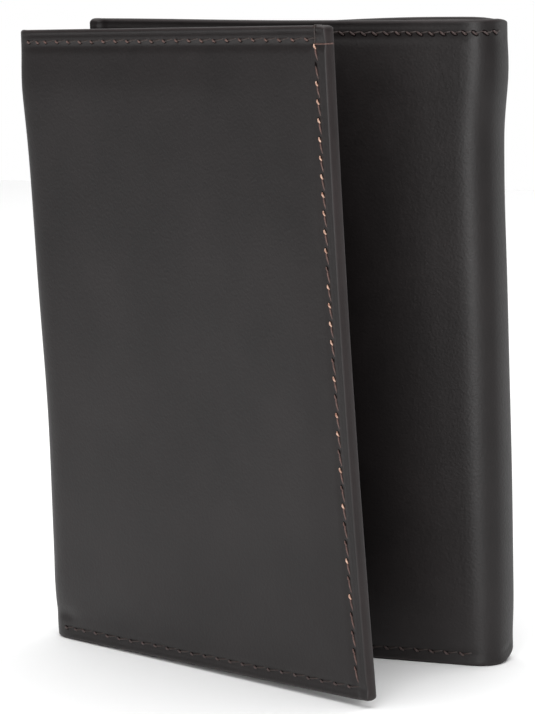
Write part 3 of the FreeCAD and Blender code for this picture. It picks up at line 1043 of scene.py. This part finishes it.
for edge, drop, knots, tuck_pitch, tuck_start in (
        ("top", TOP_ROW_DROP, BROWN_THREAD, 2.0, S_RIGHT_FOLD - 3.0),
        ("bottom", BOTTOM_ROW_DROP, FADED_THREAD, 2.86, S_RIGHT_FOLD + 4.5)):
    for panel, holder in SEWN_PANELS:
        if panel == "tuck_flap":
            level_row(panel, holder, edge, drop, tuck_pitch, TUCK_KNOT, FADED_THREAD, tuck_start)
        else:
            level_row(panel, holder, edge, drop, ROW_PITCH, ROW_KNOT, knots,
                      further=ROW_PITCH if panel == "front_flap" else 0.0)
# the side row's copper knots carry painted highlight in their colour
side_row("front_flap", "front_side_seam", math.radians(62), (0.52, 0.14), 3.3, COPPER_THREAD_AND_GLINT,
         wrapped=True, bare=(1,), run_slot=BROWN, worn_below=0.7 * HEIGHT)
side_row("tuck_flap", "tuck_side_seam", math.radians(60), (0.45, 0.26), 4.3)


def frame_seam(node):
    """Stitches round the identity window's frame."""
    (s0, _, z0), (s1, _, z1) = flat_size(node)
    face = flat_size("id_window_frame")[1][1]
    seam = Seam("centre")
    corners = [(s0, z0), (s1, z0), (s1, z1), (s0, z1)]
    for (sa, za), (sb, zb) in zip(corners, corners[1:] + corners[:1]):
        length = abs(sb - sa) + abs(zb - za)
        count = int(round(length / ROW_PITCH))
        for k in range(count):
            t0, t1 = (k + 0.15) / count, (k + 0.85) / count
            path = []
            for t in np.linspace(t0, t1, 7):
                rise = math.sin(math.pi * (t - t0) / (t1 - t0))
                path.append((sa + (sb - sa) * t, face - 0.12 + 0.24 * rise, za + (zb - za) * t))
            seam.thread(path, [FRAME_THREAD_RADIUS] * len(path), DARK)
    seam.finish("id_frame_seam", node)


frame_seam("id_frame_stitches")

# -------------------------------------------------------------------- camera, lights and the floor
CAMERA_AZIMUTH = math.radians(26.2043)
CAMERA_PITCH = math.radians(8.1481)
CAMERA_ROLL = math.radians(-1.5811)
CAMERA_DISTANCE = 621.29
CAMERA_LENS = 181.8
CAMERA_AIM = (-4.2181, 49.7563)
SENSOR_WIDTH = 36.0

right = Vector((math.cos(CAMERA_AZIMUTH), math.sin(CAMERA_AZIMUTH), 0))
back = Vector((
    math.sin(CAMERA_AZIMUTH) * math.cos(CAMERA_PITCH),
    -math.cos(CAMERA_AZIMUTH) * math.cos(CAMERA_PITCH),
    math.sin(CAMERA_PITCH),
))
up = back.cross(right)
level = right * math.cos(CAMERA_ROLL) + up * math.sin(CAMERA_ROLL)
upright = up * math.cos(CAMERA_ROLL) - right * math.sin(CAMERA_ROLL)
aim = right * CAMERA_AIM[0] + Vector((0, 0, CAMERA_AIM[1]))
eye = aim + back * CAMERA_DISTANCE

lens = bpy.data.cameras.new("camera")
lens.lens = CAMERA_LENS
lens.sensor_width = SENSOR_WIDTH
lens.clip_start = 0.01
lens.clip_end = 10.0
camera = bpy.data.objects.new("camera", lens)
camera.matrix_world = Matrix((
    (level.x, upright.x, back.x, eye.x * MM),
    (level.y, upright.y, back.y, eye.y * MM),
    (level.z, upright.z, back.z, eye.z * MM),
    (0, 0, 0, 1),
))
bpy.context.scene.collection.objects.link(camera)
bpy.context.scene.camera = camera
bpy.context.scene.view_settings.view_transform = "Standard"


def soft_box(name, azimuth, elevation, distance, size, watts):
    """Square area light that looks at the middle of the wallet; azimuth 0 is in front of it."""
    light = bpy.data.lights.new(name, "AREA")
    light.size = size
    light.energy = watts
    lamp = bpy.data.objects.new(name, light)
    a, e = math.radians(azimuth), math.radians(elevation)
    way = Vector((math.sin(a) * math.cos(e), -math.cos(a) * math.cos(e), math.sin(e)))
    lamp.location = Vector((0, 0, HEIGHT * MM / 2)) + way * distance
    lamp.rotation_euler = way.to_track_quat("Z", "Y").to_euler()
    bpy.context.scene.collection.objects.link(lamp)


# brightness of the air in front of the wallet and behind it, and where it changes over
FRONT_AIR = 0.16
BACK_AIR = 1.0
AIR_CHANGE = (0.40, 0.84)
FLOOR_REACH = 0.75
soft_box("front", 13, 9, 1.0, 0.5, 6.5)
soft_box("top", 10, 86, 1.2, 2.2, 31.5)

world = bpy.data.worlds.new("studio")
world.use_nodes = True
air, tree = world.node_tree.nodes, world.node_tree
directions = air.new("ShaderNodeTexCoord")
parts = air.new("ShaderNodeSeparateXYZ")
behind = add_node(air, "ShaderNodeMapRange", from_min=AIR_CHANGE[0], from_max=AIR_CHANGE[1],
                  to_min=FRONT_AIR, to_max=BACK_AIR)
tree.links.new(directions.outputs["Generated"], parts.inputs["Vector"])
tree.links.new(parts.outputs["Y"], behind.inputs["Value"])
tree.links.new(behind.outputs["Result"], air["Background"].inputs["Strength"])
air["Background"].inputs["Color"].default_value = (1.0, 1.0, 1.0, 1)
bpy.context.scene.world = world

floor_mesh = bpy.data.meshes.new("floor")
floor_corners = [(x * FLOOR_REACH, y * FLOOR_REACH, 0) for x, y in ((-1, -1), (1, -1), (1, 1), (-1, 1))]
floor_mesh.from_pydata(floor_corners, [], [(0, 1, 2, 3)])
floor = bpy.data.objects.new("floor", floor_mesh)
floor_skin, floor_nodes, _ = new_material("floor")
floor_nodes["Principled BSDF"].inputs["Base Color"].default_value = (0.95, 0.95, 0.95, 1)
floor_nodes["Principled BSDF"].inputs["Roughness"].default_value = 0.9
floor_mesh.materials.append(floor_skin)
bpy.context.scene.collection.objects.link(floor)
